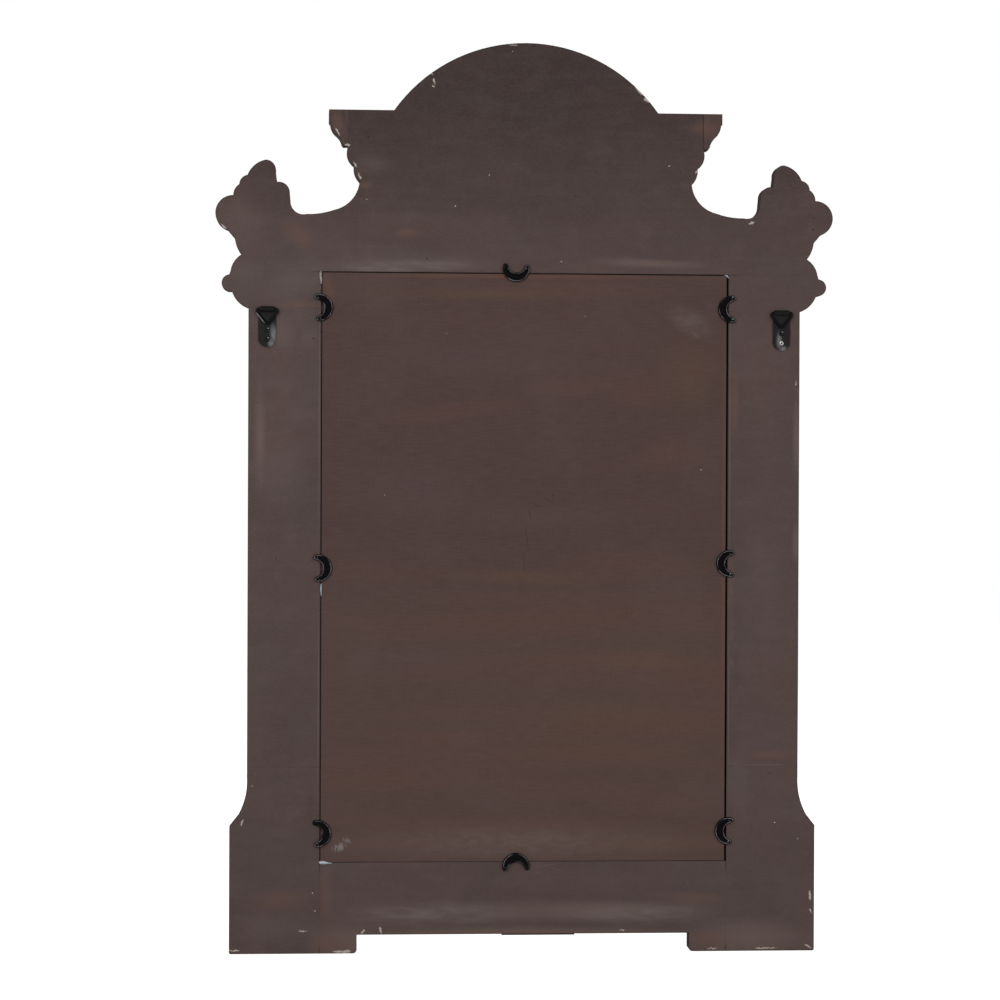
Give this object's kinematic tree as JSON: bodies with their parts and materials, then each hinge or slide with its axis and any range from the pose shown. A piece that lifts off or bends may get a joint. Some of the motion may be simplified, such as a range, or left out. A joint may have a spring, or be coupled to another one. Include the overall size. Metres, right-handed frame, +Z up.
{
  "type": "wall mirror",
  "caption": "Wall mirror in a carved wooden frame with an arched crest, scrolled ears, flared feet, a clipped backing panel and hinged hanging rings on its back.",
  "frame": {"origin": "midway between the two hanging rings' hinge bars, on the plane of the frame's back", "axes": "+X to the right as one looks into the glass, +Y from the glass to the wall, +Z up"},
  "size_m": [0.7484, 0.0504, 1.1],
  "materials": {
    "painted_board": "flat dark brown paint",
    "carved_front": "dark brown stain with rubbed edges",
    "mirror_glass": "silvered and bevelled",
    "backing_panel": "flat dark brown paint",
    "dowel_beech": "bare",
    "black_clip": "gloss black",
    "black_steel": "satin black",
    "black_wire": "gloss black"
  },
  "bodies": {
    "frame": {"crest_board": "painted_board", "bottom_rail": "painted_board", "left_shoulder_block": "painted_board", "left_stile": "painted_board", "left_base_block": "painted_board", "right_shoulder_block": "painted_board", "right_stile": "painted_board", "right_base_block": "painted_board", "left_cornice_end": "carved_front", "right_cornice_end": "carved_front", "cornice_moulding": "carved_front", "arch_moulding": "carved_front", "top_sight_moulding": "carved_front", "bottom_sight_moulding": "carved_front", "left_sight_moulding": "carved_front", "right_sight_moulding": "carved_front", "mirror_glass": "mirror_glass", "backing_panel": "backing_panel", "frieze_moulding": "carved_front", "crest_tablet": "carved_front", "apron_board": "carved_front", "pediment_shell": "carved_front", "apron_drop": "carved_front", "left_ear_carving": "carved_front", "right_ear_carving": "carved_front", "left_pedestal": "carved_front", "right_pedestal": "carved_front", "left_pilaster": "carved_front", "right_pilaster": "carved_front", "left_pilaster_base": "carved_front", "right_pilaster_base": "carved_front", "left_capital": "carved_front", "right_capital": "carved_front", "top_clip": "black_clip", "bottom_clip": "black_clip", "left_upper_clip": "black_clip", "left_middle_clip": "black_clip", "left_lower_clip": "black_clip", "right_upper_clip": "black_clip", "right_middle_clip": "black_clip", "right_lower_clip": "black_clip", "clip_pins": "black_clip", "left_hanger_strap": "black_steel", "right_hanger_strap": "black_steel", "hanger_screws": "black_steel", "dowels": "dowel_beech"},
    "left_ring": {"left_hanger_ring": "black_wire"},
    "right_ring": {"right_hanger_ring": "black_wire"}
  },
  "joints": [
    {"name": "left_ring_hinge", "type": "hinge", "parent": "frame", "child": "left_ring", "pos_m": [-0.3117, 0.0032, 0], "axis": [1, 0, 0], "range_deg": [0, 180]},
    {"name": "right_ring_hinge", "type": "hinge", "parent": "frame", "child": "right_ring", "pos_m": [0.3117, 0.0032, 0], "axis": [1, 0, 0], "range_deg": [0, 180]}
  ]
}
